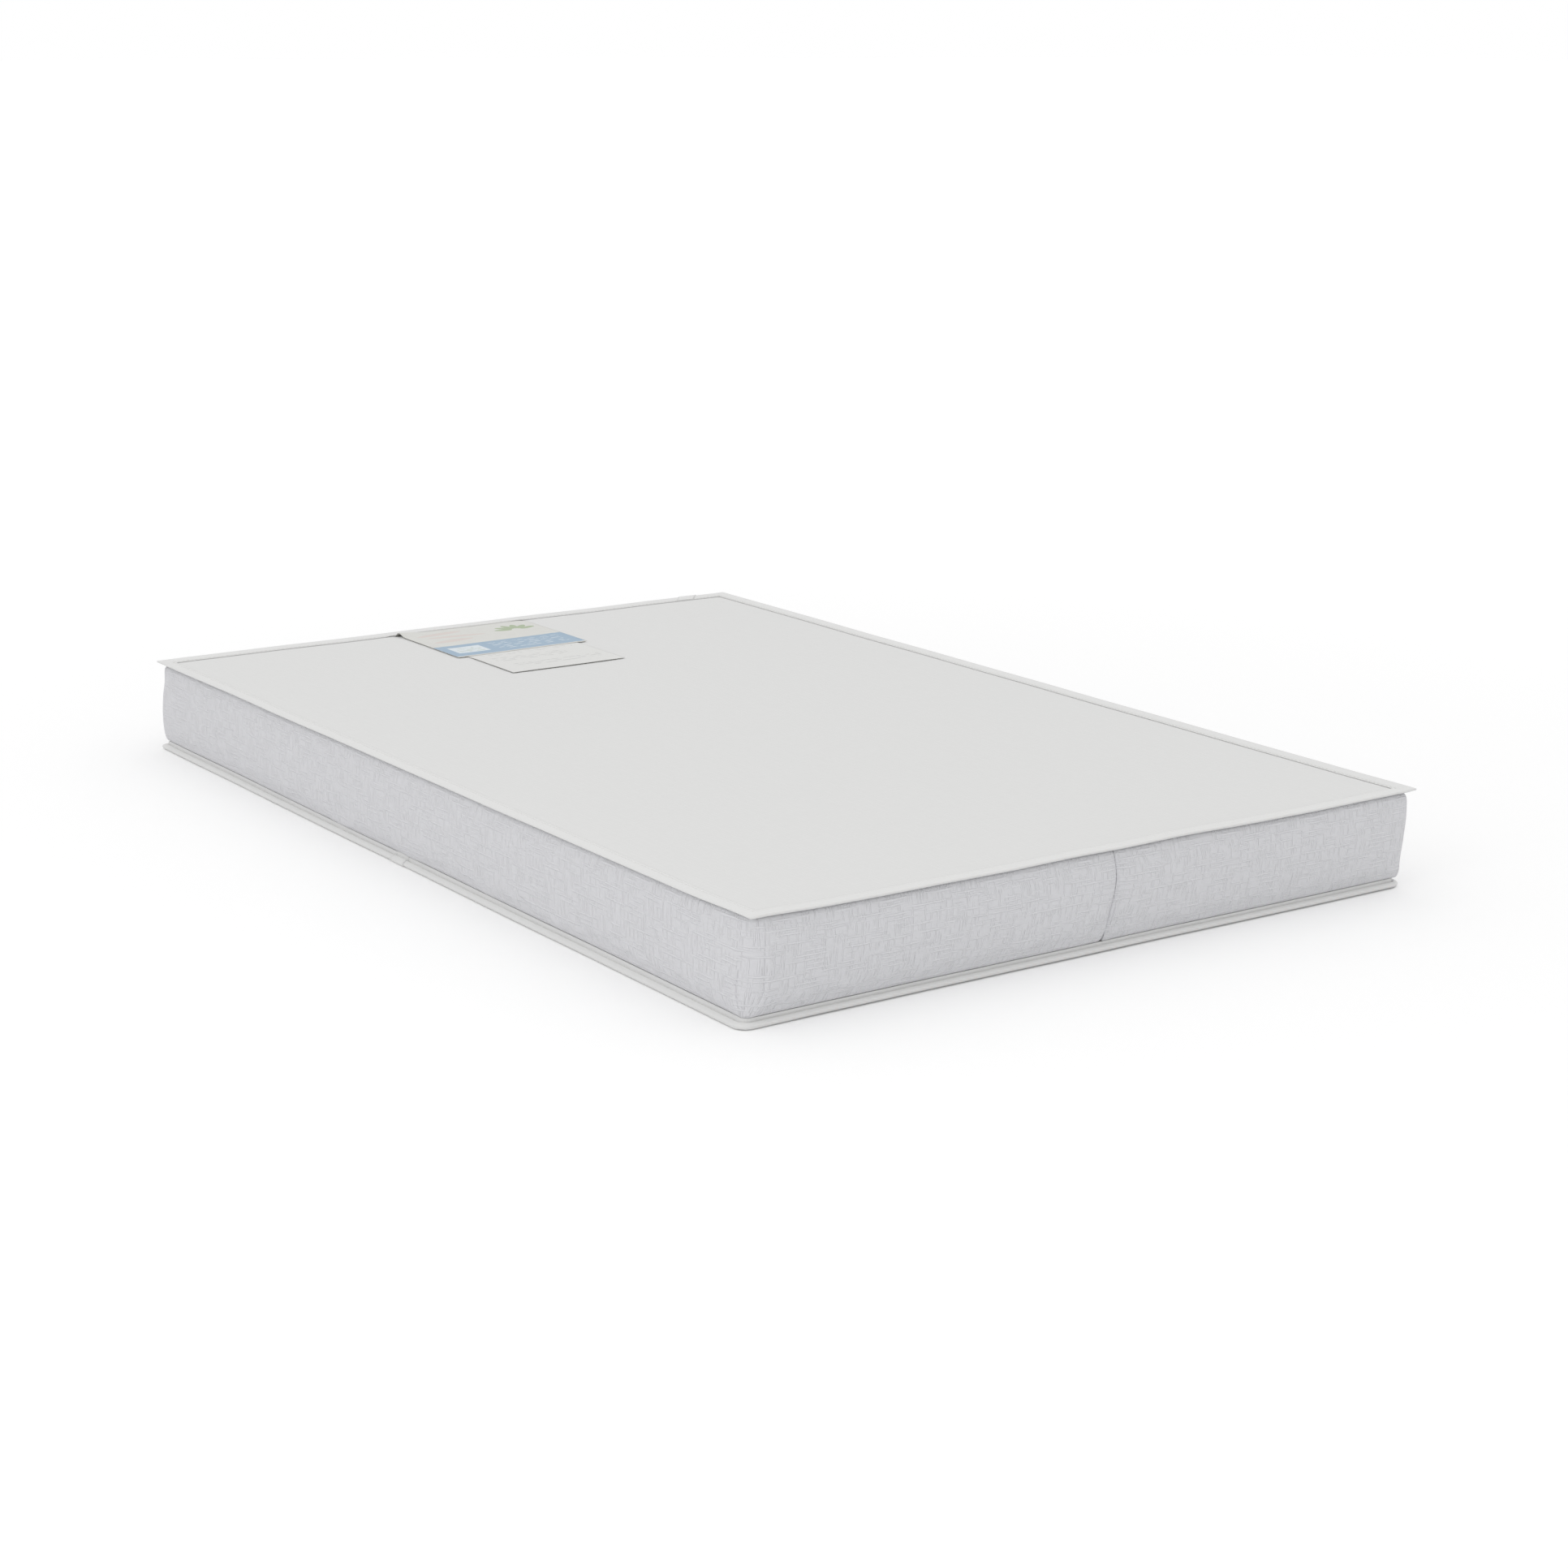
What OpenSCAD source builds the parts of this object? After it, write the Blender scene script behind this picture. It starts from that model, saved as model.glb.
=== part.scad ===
// Small taped-edge mattress: a two-layer foam core in a sewn cover with two folded edge bindings
// and two loose labels. X runs along the length, Y across, Z up. The origin is the centre of the
// footprint on the surface that the mattress lies on.
//
// Cross-sections are drawn once, as 2D profiles in (u, z). u is the distance outwards from the side
// of the foam core, so one profile serves all four sides and the corners between them.

/* [Foam core] */
// Length of the foam core
core_l = 965; // [600:5:1400]
// Width of the foam core
core_w = 610; // [400:5:900]
// Thickness of the firm support foam
support_t = 50.8; // [30:0.2:120]
// Thickness of the memory foam on top of it
memory_t = 25.4; // [12:0.2:60]
// Radius of the core's four upright corners
corner_r = 5; // [2:0.5:8]

/* [Wadding] */
// Thickness of the fibre pads above and below the core
pad_t = 2.4; // [1:0.1:8]

/* [Cover] */
// Thickness of the top and bottom panel fabric
panel_t = 0.7; // [0.5:0.05:1]
// Thickness of the border fabric
border_t = 0.7; // [0.5:0.05:1]
// How far the padded border swells out past its seams
border_bulge = 8; // [6.5:0.5:12]
// How square the swelling is: 2 is an ellipse, higher is fuller
border_fullness = 3.6; // [2:0.1:6]
// Radius of the border's four upright corners
border_corner_r = 14; // [8:0.5:18]
// Distance from the core's side to the border's seams
seam_u = 2; // [1.5:0.1:3]
// Width of the panel's margin, where it curves down to its seam
margin_w = 22; // [18:1:40]
// Depth of the border fabric turned inwards at its upright seams
seam_allowance = 4; // [2:0.5:5]
// Place of the upright seams across the short ends
end_seam_y = 9; // [-100:1:100]

/* [Binding] */
// Width of the folded binding, from its inner edge to its fold
binding_w = 14; // [11:0.5:18]
// How far the sewn edges of the cover stop short of the fold's round
seam_setback = 0.5; // [0.2:0.1:1]
// Thickness of the binding tape
tape_t = 0.6; // [0.4:0.05:0.9]
// Angle at which the lower binding droops to the floor
droop = 22; // [10:1:28]
// Length over which a binding's two ends overlap
lap_l = 20; // [10:1:40]
// Place of the lower binding's lap along the front side
lower_lap_x = -16; // [-200:1:200]
// Place of the upper binding's lap along the far end
upper_lap_y = 262; // [120:1:265]

/* [Labels] */
// Thickness of each label
label_t = 0.3; // [0.2:0.05:0.4]
// Length of the printed label, from its fold line
label_l = 127; // [60:1:200]
// Width of the printed label
label_w = 141; // [60:1:180]
// Length of the law tag, from its fold line
tag_l = 214; // [80:1:300]
// Width of the law tag
tag_w = 121; // [60:1:180]
// Place of both labels' centre lines across the far end
label_y = -7; // [-60:1:60]
// Distance from the core's side in to the line where the law tag folds
fold_in = 4; // [3.5:0.5:10]
// How much further in the printed label folds, because it lies over the law tag
fold_stagger = 1; // [1:0.25:3]
// Width of a label's margin that is sewn in under the binding
label_margin = 8; // [5:0.5:9]

/* [Clearances] */
// Gap between soft layers that lie on each other
lay_gap = 0.3; // [0.2:0.05:0.4]
// Gap between the layers that are sewn together in a binding
sewn_gap = 0.15; // [0.1:0.05:0.2]
// Height of the lower binding above the floor
floor_gap = 0.2; // [0.1:0.1:1]

/* [Hidden] */
$fn = 48;

half_l = core_l / 2;
half_w = core_w / 2;

// Heights of the layers at the middle of the mattress
bottom_pad_z = panel_t + lay_gap;
support_z = bottom_pad_z + pad_t + lay_gap;
memory_z = support_z + support_t + lay_gap;
top_pad_z = memory_z + memory_t + lay_gap;
top_panel_z = top_pad_z + pad_t + lay_gap;
total_h = top_panel_z + panel_t;

// Layers in a binding, measured from its middle plane towards the panel's outer face.
// From the border side: tape, border fabric, panel fabric, law tag, printed label, tape.
stack_t = 2 * tape_t + border_t + panel_t + 2 * label_t + 5 * sewn_gap;
fold_r = stack_t / 2;
border_layer = -fold_r + tape_t + sewn_gap;
panel_layer = border_layer + border_t + sewn_gap;
tag_layer = panel_layer + panel_t + sewn_gap;
label_layer = tag_layer + label_t + sewn_gap;
layer_end = binding_w - fold_r;
sewn_end = layer_end - seam_setback;

// The binding's border-side leg starts just outside the border's seam
border_leg_start = seam_u + lay_gap;

// Heights of the two bindings' middle planes at the side of the core
upper_z = total_h - fold_r;
lower_z = layer_end * sin(droop) + fold_r + tape_t + floor_gap;

// How far the panels' margins fall short of their middles
top_drop = total_h - upper_z - (panel_layer + panel_t);
bottom_rise = binding_point(false, 0, panel_layer + panel_t)[1];

// Ends of the border's swelling
border_top_z = upper_z - fold_r - lay_gap;
border_low_z = binding_point(false, border_leg_start, -fold_r)[1] + lay_gap;

// Room kept by the shaping solids around the mattress
room = 2 * binding_w;
curve_steps = 24;
margin_steps = 8;

// ---------------------------------------------------------------- curves and profiles

// A point of a binding, s along it from the core's side and t across it, as (u, z)
function binding_point(upper, s, t) = upper
    ? [s, upper_z + t]
    : [s * cos(droop) - t * sin(droop), lower_z - s * sin(droop) - t * cos(droop)];

// Where along a binding the point lies that is across it by t and out from the core by u
function along(upper, u, t) = upper ? u : (u + t * sin(droop)) / cos(droop);

function reversed(points) = [for (i = [len(points) - 1 : -1 : 0]) points[i]];

// Arc of a panel's margin from its flat middle (-w, 0) to the core's side (0, rise)
function margin_arc(w, rise) = let (r = (w * w + rise * rise) / (2 * rise), sweep = asin(w / r))
    [for (i = [0 : margin_steps]) let (a = sweep * i / margin_steps)
        [r * sin(a) - w, r * (1 - cos(a))]];

// The border's swelling as half a superellipse, drawn in by the distance d, from the top down
function swelling(d) = let (
        power = 2 / border_fullness,
        mid = (border_top_z + border_low_z) / 2,
        half = (border_top_z - border_low_z) / 2 - d)
    [for (i = [0 : curve_steps]) let (a = 180 * i / curve_steps)
        [seam_u + (border_bulge - d) * pow(abs(sin(a)), power),
         mid + half * sign(cos(a)) * pow(abs(cos(a)), power)]];

// Filled outline of the swelling
module swelling_face(d) polygon(swelling(d));

// Outer face of a panel's margin, lowered or raised by depth into the mattress
function margin_face(upper, depth) =
    [for (p = margin_arc(margin_w, upper ? top_drop : bottom_rise))
        [p[0], upper ? total_h - depth - p[1] : depth + p[1]]];

// Places a profile drawn along a binding
module along_binding(upper) {
    if (upper) translate([0, upper_z]) children();
    else translate([0, lower_z]) rotate(-droop) mirror([0, 1]) children();
}

// Outline of a folded strip with its fold rounded to the radius r
module fold_face(r) {
    translate([0, -r]) square([layer_end, 2 * r]);
    translate([layer_end, 0]) circle(r);
}

// Section of the folded tape between two radii of its fold. Its border-side leg starts at leg_start.
module tape_section(upper, inner_r, outer_r, leg_start)
    along_binding(upper) difference() {
        fold_face(outer_r);
        fold_face(inner_r);
        translate([-leg_start, -2 * outer_r]) square([2 * leg_start, 2 * outer_r]);
    }

// Section of a panel's margin and its sewn edge
module panel_section(upper)
    polygon(concat(
        margin_face(upper, 0),
        [binding_point(upper, sewn_end, panel_layer + panel_t),
         binding_point(upper, sewn_end, panel_layer)],
        reversed(margin_face(upper, panel_t))));

// Section of the border fabric's sewn edge and its fold down to the swelling
module sewn_edge_section(upper) {
    inner_t = border_layer + border_t;
    seam_z = upper ? border_top_z - border_t : border_low_z + border_t;
    polygon([
        binding_point(upper, along(upper, seam_u, border_layer), border_layer),
        binding_point(upper, sewn_end, border_layer),
        binding_point(upper, sewn_end, inner_t),
        binding_point(upper, along(upper, seam_u - border_t, inner_t), inner_t),
        [seam_u - border_t, seam_z],
        [seam_u, seam_z]]);
}

// Section of the border fabric turned inwards at an upright seam
module turned_in_section()
    intersection() {
        difference() {
            swelling_face(border_t / 2);
            swelling_face(border_t + seam_allowance);
        }
        translate([seam_u + 2 * border_t, 0]) square([border_bulge, total_h]);
    }

// ---------------------------------------------------------------- sweeps round the core

// A profile run straight along a side that lies at the distance reach
module straight_run(reach, run)
    translate([reach, run, 0]) rotate([90, 0, 0]) linear_extrude(2 * run) children();

// The stretch of one side between its two mitres
module mitre_wedge(reach, run) {
    inside = margin_w + seam_u;
    translate([0, 0, -room]) linear_extrude(total_h + 2 * room)
        polygon([[reach - inside, run - inside], [reach + room, run + room],
                 [reach + room, -run - room], [reach - inside, inside - run]]);
}

// A profile run round the core with mitred corners
module mitred_ring() {
    for (turn = [0 : 3]) {
        reach = turn % 2 == 0 ? half_l : half_w;
        run = turn % 2 == 0 ? half_w : half_l;
        rotate(90 * turn) intersection() {
            straight_run(reach, run + room) children();
            mitre_wedge(reach, run);
        }
    }
}

// ---------------------------------------------------------------- layers of the core

// Everything above a surface that is flat at the height z and curves up at the margins
module above(z, rise) {
    intersection_for (across = [false, true]) {
        half = across ? half_w : half_l;
        length = (across ? core_l : core_w) + 2 * room;
        right = [for (p = margin_arc(margin_w, rise)) [half + p[0], z + p[1]]];
        left = reversed([for (p = right) [-p[0], p[1]]]);
        lid = total_h + 2 * room;
        rotate(across ? 90 : 0) translate([0, length / 2, 0]) rotate([90, 0, 0])
            linear_extrude(length)
                polygon(concat([[-half, lid]], left, right, [[half, lid]]));
    }
}

// Everything below a surface that is flat at the height z and curves down at the margins
module below(z, drop)
    translate([0, 0, z]) mirror([0, 0, 1]) above(0, drop);

// The core's outline, drawn in by the distance edge, with the corner radius r
module outline_block(edge, z_low, z_high, r) {
    translate([0, 0, z_low]) linear_extrude(z_high - z_low) {
        square([core_l - 2 * edge, core_w - 2 * (edge + r)], center = true);
        square([core_l - 2 * (edge + r), core_w - 2 * edge], center = true);
        for (x = [-1, 1], y = [-1, 1])
            translate([x * (half_l - edge - r), y * (half_w - edge - r)]) circle(r);
    }
}

// The padded border as one filled block, drawn in by the distance d
module border_block(d) {
    curve = swelling(d);
    intersection() {
        intersection_for (across = [false, true]) {
            half = across ? half_w : half_l;
            length = (across ? core_l : core_w) + 2 * room;
            right = [for (p = curve) [half + p[0], p[1]]];
            left = reversed([for (p = right) [-p[0], p[1]]]);
            rotate(across ? 90 : 0) translate([0, length / 2, 0]) rotate([90, 0, 0])
                linear_extrude(length) polygon(concat(right, left));
        }
        outline_block(d - seam_u - border_bulge, 0, total_h, border_corner_r - d);
    }
}

// Everything on one side of the upright end seams, at the distance gap from them
module seam_side(front, gap) {
    far = half_w + room - abs(end_seam_y);
    width = core_l + 2 * room;
    translate([-width / 2, front ? end_seam_y - gap - far : end_seam_y + gap, -room])
        cube([width, far, total_h + 2 * room]);
}

// ---------------------------------------------------------------- foam and fibre

module support_foam() color("lightyellow")
    intersection() {
        outline_block(0, 0, support_z + support_t, corner_r);
        above(support_z, bottom_rise);
    }

module memory_foam() color("khaki")
    intersection() {
        outline_block(0, memory_z, total_h, corner_r);
        below(memory_z + memory_t, top_drop);
    }

module top_fibre_pad() color("ivory")
    intersection() {
        outline_block(lay_gap, memory_z, total_h, corner_r);
        difference() {
            below(top_pad_z + pad_t, top_drop);
            below(top_pad_z, top_drop);
        }
    }

module bottom_fibre_pad() color("ivory")
    intersection() {
        outline_block(lay_gap, 0, memory_z, corner_r);
        difference() {
            above(bottom_pad_z, bottom_rise);
            above(bottom_pad_z + pad_t, bottom_rise);
        }
    }

// The wadding stops short of the fabric turned in at the upright seams
module border_wadding(front) color("snow")
    intersection() {
        difference() {
            border_block(border_t + lay_gap);
            outline_block(-lay_gap, -room, total_h + room, corner_r + lay_gap);
        }
        seam_side(front, sewn_gap / 2 + border_t + lay_gap);
    }

module border_wadding_front() border_wadding(true);
module border_wadding_back() border_wadding(false);

// ---------------------------------------------------------------- cover

// A panel: its flat middle, and its margins with their sewn edges
module panel(upper) color("whitesmoke") {
    middle = [core_l - 2 * margin_w, core_w - 2 * margin_w, panel_t];
    translate([0, 0, (upper ? top_panel_z : 0) + panel_t / 2]) cube(middle, center = true);
    mitred_ring() panel_section(upper);
}

module top_panel() panel(true);
module bottom_panel() panel(false);

// Fabric turned inwards at the upright seams of one border strip
module turned_in(front) {
    y = front ? end_seam_y - sewn_gap / 2 : end_seam_y + sewn_gap / 2 + border_t;
    for (end = [0, 1])
        mirror([end, 0, 0]) translate([half_l, y, 0]) rotate([90, 0, 0])
            linear_extrude(border_t) turned_in_section();
}

module border_strip(front) color("gainsboro") {
    intersection() {
        union() {
            difference() {
                border_block(0);
                border_block(border_t);
                outline_block(border_t - seam_u, -room, total_h + room, 0);
            }
            for (upper = [true, false]) mitred_ring() sewn_edge_section(upper);
        }
        seam_side(front, sewn_gap / 2);
    }
    turned_in(front);
}

module border_strip_front() border_strip(true);
module border_strip_back() border_strip(false);

// ---------------------------------------------------------------- bindings

module tape_ring(upper)
    mitred_ring() tape_section(upper, fold_r - tape_t, fold_r, border_leg_start);

// The tape's end lies over its beginning, and is joined to half its thickness
module tape_lap(upper, reach)
    straight_run(reach, lap_l / 2)
        tape_section(upper, fold_r - tape_t / 2, fold_r + tape_t, layer_end);

module top_binding() color("white") {
    tape_ring(true);
    translate([0, upper_lap_y, 0]) rotate(180) tape_lap(true, half_l);
}

module bottom_binding() color("white") {
    tape_ring(false);
    translate([lower_lap_x, 0, 0]) rotate(-90) tape_lap(false, half_w);
}

// ---------------------------------------------------------------- labels

// A thin sheet that follows the top panel at the height lift above it, from x_low to x_high
module sheet_on_panel(lift, x_low, x_high, width)
    intersection() {
        translate([x_low, label_y - width / 2, 0]) cube([x_high - x_low, width, total_h + room]);
        difference() {
            below(total_h + lift + label_t, top_drop);
            below(total_h + lift, top_drop);
        }
    }

// The sewn-in margin of a label: under the binding, and out to just short of the fold line
module sewn_margin(layer, width) {
    lift = layer - panel_layer - panel_t;
    sheet_on_panel(lift, -half_l, -half_l + fold_in - lay_gap - label_t / 2, width);
    translate([-half_l - label_margin, label_y - width / 2, upper_z + layer])
        cube([label_margin + sewn_gap, width, label_t]);
}

// The free part of a label, from its fold line
module flap(lift, fold, length, width)
    sheet_on_panel(lift, fold - half_l, fold - half_l + length, width);

module law_tag_margin() color("white") sewn_margin(tag_layer, tag_w);
module product_label_margin() color("aliceblue") sewn_margin(label_layer, label_w);
module law_tag_flap() color("white") flap(lay_gap, fold_in, tag_l, tag_w);
module product_label_flap() color("lightsteelblue")
    flap(2 * lay_gap + label_t, fold_in + fold_stagger, label_l, label_w);

// ---------------------------------------------------------------- assembly

support_foam();
memory_foam();
top_fibre_pad();
bottom_fibre_pad();
border_wadding_front();
border_wadding_back();
top_panel();
bottom_panel();
border_strip_front();
border_strip_back();
top_binding();
bottom_binding();
law_tag_margin();
product_label_margin();
law_tag_flap();
product_label_flap();
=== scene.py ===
import math
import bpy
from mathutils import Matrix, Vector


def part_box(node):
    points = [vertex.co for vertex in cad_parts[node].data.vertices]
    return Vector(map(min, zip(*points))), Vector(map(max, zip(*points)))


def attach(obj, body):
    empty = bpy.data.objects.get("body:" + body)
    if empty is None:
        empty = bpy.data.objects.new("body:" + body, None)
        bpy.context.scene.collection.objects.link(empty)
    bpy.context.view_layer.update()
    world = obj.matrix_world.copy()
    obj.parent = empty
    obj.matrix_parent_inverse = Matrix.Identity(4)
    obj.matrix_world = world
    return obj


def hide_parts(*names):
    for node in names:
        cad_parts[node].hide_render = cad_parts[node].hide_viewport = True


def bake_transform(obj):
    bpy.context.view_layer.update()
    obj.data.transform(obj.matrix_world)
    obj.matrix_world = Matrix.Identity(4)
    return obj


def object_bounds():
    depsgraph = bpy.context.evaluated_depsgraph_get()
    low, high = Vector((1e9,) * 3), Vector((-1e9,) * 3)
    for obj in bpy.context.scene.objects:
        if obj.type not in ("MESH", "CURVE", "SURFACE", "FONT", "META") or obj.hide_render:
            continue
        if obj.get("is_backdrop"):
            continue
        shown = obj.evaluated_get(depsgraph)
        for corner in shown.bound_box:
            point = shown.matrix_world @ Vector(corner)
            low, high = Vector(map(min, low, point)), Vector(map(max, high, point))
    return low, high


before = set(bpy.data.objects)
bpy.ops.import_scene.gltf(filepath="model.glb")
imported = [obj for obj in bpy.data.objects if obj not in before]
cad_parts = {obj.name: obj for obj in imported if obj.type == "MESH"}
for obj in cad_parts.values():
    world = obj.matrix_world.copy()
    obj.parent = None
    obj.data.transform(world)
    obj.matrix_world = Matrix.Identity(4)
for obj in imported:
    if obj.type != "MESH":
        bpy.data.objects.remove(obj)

from types import SimpleNamespace

import bmesh
import bpy
from bpy.props import FloatProperty, FloatVectorProperty, PointerProperty
from mathutils import Matrix, Vector, noise

bl_info = {
    "name": "Taped-Edge Foam Mattress",
    "version": (1, 0, 0),
    "blender": (4, 5, 0),
    "location": "3D View > Sidebar > Mattress",
    "description": "Builds the sewn cover, bindings, wadding and labels of a small foam mattress",
    "category": "Object",
}

# The foam core's highest corner gives half its length and width; every section of the cover is
# drawn in (u, z), where u is the distance outwards from the core's side.
MM = 0.001
CORE_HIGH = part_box("support_foam")[1]
HALF_L, HALF_W = CORE_HIGH.x, CORE_HIGH.y
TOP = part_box("top_panel")[1].z
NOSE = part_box("top_binding")[1].x - HALF_L
LAID = 0.3 * MM         # gap between layers that lie on each other
CORE_CORNER = 5 * MM    # radius of the core's upright corners
FOLDED = 18             # points across each side of a folded tape
THIN_FROM = 8.2 * MM    # how far out a tape begins to thin towards its fold
BACK_SHIFT = 1.0        # moves a label's underside to where its material has no print
CAD_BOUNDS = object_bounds()


def srgb(code):
    """Linear RGBA of an sRGB hex colour."""
    parts = [int(code[i:i + 2], 16) / 255 for i in (0, 2, 4)]
    linear = [c / 12.92 if c <= 0.04045 else ((c + 0.055) / 1.055) ** 2.4 for c in parts]
    return (*linear, 1.0)


# ---- sizes and colours

def length(name, description, default_mm):
    return FloatProperty(name=name, description=description, default=default_mm * MM,
                         unit="LENGTH", precision=5)


def colour(name, description, code):
    return FloatVectorProperty(name=name, description=description, default=srgb(code),
                               size=4, min=0.0, max=1.0, subtype="COLOR")


class MattressSizes(bpy.types.PropertyGroup):
    """Sizes of the sewn cover that its maker would change."""
    cloth: length("Ticking", "Thickness of the panel and border cloth", 0.7)
    tape: length("Tape", "Thickness of the binding tape", 0.6)
    fold: length("Fold", "Thickness of a binding, folded round the cloth", 3.95)
    nose_top: length("Upper fold", "Radius of the upper tape at its fold", 0.7)
    nose_low: length("Lower fold", "Radius of the lower tape at its fold", 1.8)
    droop: FloatProperty(name="Droop", description="Angle at which the lower binding hangs",
                         default=math.radians(22), subtype="ANGLE")
    margin: length("Margin", "Width over which a panel curves down to its seam", 22)
    top_drop: length("Top drop", "How far the top panel falls at its seam", 1.65)
    lip: length("Lip", "How far the stitches draw a tape's edge down to the panel", 0.8)
    seam_u: length("Seam", "Distance of the border's seams from the core", 2)
    bulge: length("Bulge", "How far the padded border swells past its seams", 8)
    near_r: length("Soft corner", "Radius of the border's softest upright corner", 14)
    far_r: length("Firm corners", "Radius of the border's firmer upright corners", 5)
    groove: length("Groove", "Depth to which the stitches pull the tape in", 0.55)
    stitch_in: length("Stitch line", "Distance of the stitches from the tape's edge", 2.4)
    stitch: length("Stitch", "Distance from one stitch to the next", 4.4)
    thread: length("Thread", "Thickness of the sewing thread", 0.45)
    seam_y: length("Border seam", "Place of the upright seams across the short ends", 9)
    front_inset: length("Front foot", "How far the foot draws in along the front side", -1.0)
    back_inset: length("Back foot", "How far the foot draws in along the back side", -3.5)
    right_inset: length("Right foot", "How far the foot draws in at the right end", 10.5)
    left_inset: length("Left foot", "How far the foot draws in at the left end", 3.8)


class MattressColours(bpy.types.PropertyGroup):
    """Colours of the mattress's cloths, foams and prints."""
    ticking: colour("Panel cloth", "Colour of the top and bottom panels", "E1E1E0")
    border: colour("Border cloth", "Colour of the padded border", "DCDCDF")
    tape: colour("Binding tape", "Colour of the binding tape", "E4E4E3")
    thread: colour("Thread", "Colour of the sewing thread", "DCDCD8")
    memory: colour("Memory foam", "Colour of the soft foam layer", "F0E8CF")
    support: colour("Support foam", "Colour of the firm foam layer", "F2EFE4")
    fibre: colour("Fibre", "Colour of the polyester wadding", "F4F4F2")
    tag: colour("Law tag", "Colour of the nonwoven law tag", "E2E2E0")
    print_ground: colour("Label ground", "Ground colour of the printed label", "DEDEDA")
    print_band: colour("Label band", "Colour of the printed label's band", "A1B7CA")
    print_leaf: colour("Label leaves", "Colour of the printed label's leaves", "A5B593")
    print_blush: colour("Label blush", "Colour of the printed label's soft waves", "D9C8C2")
    floor: colour("Floor", "Colour of the floor", "FAFAFA")


def cover_plan():
    """The sizes that the pieces share, worked out from the sidebar's values and the frame."""
    s = bpy.context.scene.mattress_sizes
    plan = SimpleNamespace(**{name: getattr(s, name) for name in s.__annotations__})
    plan.fold_r = plan.fold / 2
    plan.leg = NOSE - plan.fold_r
    plan.upper_z = TOP - plan.fold_r
    # On the border's side the lower tape's edge lies further out than the upper one's
    plan.leg_start = plan.seam_u + LAID
    plan.low_start = plan.leg_start + 3.9 * MM
    low_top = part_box("bottom_binding")[1].z
    plan.lower_z = (low_top + plan.leg_start * math.sin(plan.droop)
                    - plan.fold_r * math.cos(plan.droop))
    plan.cloth_top = -plan.fold_r + plan.tape + 2 * plan.cloth + LAID
    plan.border_u = plan.seam_u + plan.bulge
    label_low, label_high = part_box("product_label_flap")
    plan.label_y, plan.label_w = (label_low.y + label_high.y) / 2, label_high.y - label_low.y
    return plan


# ---- shape of the cover

def ramp(t):
    """Rises smoothly from 0 at t = 0 to 1 at t = 1."""
    t = min(1.0, max(0.0, t))
    return t * t * (3 - 2 * t)


def bump(distance, width):
    """A bell curve that is 1 at no distance."""
    return math.exp(-(distance / width) ** 2)


def drift(x, y, size, seed):
    """Smooth noise of -1 to 1 that changes over the given size."""
    return noise.noise(Vector((x / size, y / size, seed)))


def settle(spot, plan):
    """Where a point of the ideal cover comes to rest: the foot shifts, the left end swells more
    than the right one, the edges wave and the lower tape hangs down to the floor."""
    x, y, z = spot
    lean_height, lean_width = 66 * MM, 60 * MM
    swell, sway_end, sway_side, sag = 1.8 * MM, 0.9 * MM, 0.6 * MM, 0.6 * MM
    up = min(1.0, max(0.0, z / lean_height))
    right, left = ramp(0.5 + x / HALF_L), ramp(0.5 - x / HALF_L)
    end = ramp(1 + (abs(x) - HALF_L) / lean_width)
    side = ramp(1 + (abs(y) - HALF_W) / lean_width)
    belly = swell * math.sin(math.pi * up) * left
    inset_x = plan.right_inset * (1 - up) ** 1.8 if x > 0 else plan.left_inset * (1 - up) ** 4.5
    inset_y = (plan.back_inset if y > 0 else plan.front_inset) * (1 - up) ** 2.5
    sway_x = sway_end * drift(y, z, 95 * MM, 11.5)
    sway_y = sway_side * drift(x, z, 120 * MM, 13.5)
    lift = end * (0.35 + 0.55 * right) * drift(y, 0.0, 85 * MM, 1.5 if x > 0 else 7.5)
    lift += side * 0.4 * drift(x, 0.0, 130 * MM, 3.5 if y > 0 else 5.5)
    near_corner, corner_lift = math.hypot(x - HALF_L, y + HALF_W), 2.0
    lift += corner_lift * bump(near_corner, 42 * MM)
    hang = ramp((max(abs(x) - HALF_L, abs(y) - HALF_W) - 3 * MM) / (10 * MM))
    hang *= sag * (1 - ramp(z / (12 * MM))) * (side if y < 0 else 0)
    return Vector((x + end * (math.copysign(1, x) * (belly - inset_x) + sway_x),
                   y + side * (math.copysign(1, y) * (belly - inset_y) + sway_y),
                   max(z + ramp(z / TOP) * lift * MM - hang, min(z, 0.1 * MM))))


def binding_point(plan, upper, s, h):
    """A point of a binding, s out along it and h across it towards the panel's face, as (u, z)."""
    if upper:
        return s, plan.upper_z + h
    sine, cosine = math.sin(plan.droop), math.cos(plan.droop)
    return s * cosine - h * sine, plan.lower_z - s * sine - h * cosine


def round_corner(x, y, inner):
    """Turns a mitred corner into an arc for whatever lies further out than inner."""
    out_x, out_y = abs(x) - HALF_L - inner, abs(y) - HALF_W - inner
    if out_x <= 0 or out_y <= 0:
        return x, y
    scale = max(out_x, out_y) / math.hypot(out_x, out_y)
    return (math.copysign(HALF_L + inner + out_x * scale, x),
            math.copysign(HALF_W + inner + out_y * scale, y))


def half_run(side):
    """Half the core's length along one of its sides: 0 right, 1 back, 2 left, 3 front."""
    return HALF_W if side % 2 == 0 else HALF_L


def corner_inner(upper, x):
    """How far out the arc of a binding's corner begins."""
    if upper:
        return NOSE - 1.5 * MM
    return NOSE - (12 * MM if x > 0 else 2 * MM)


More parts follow.
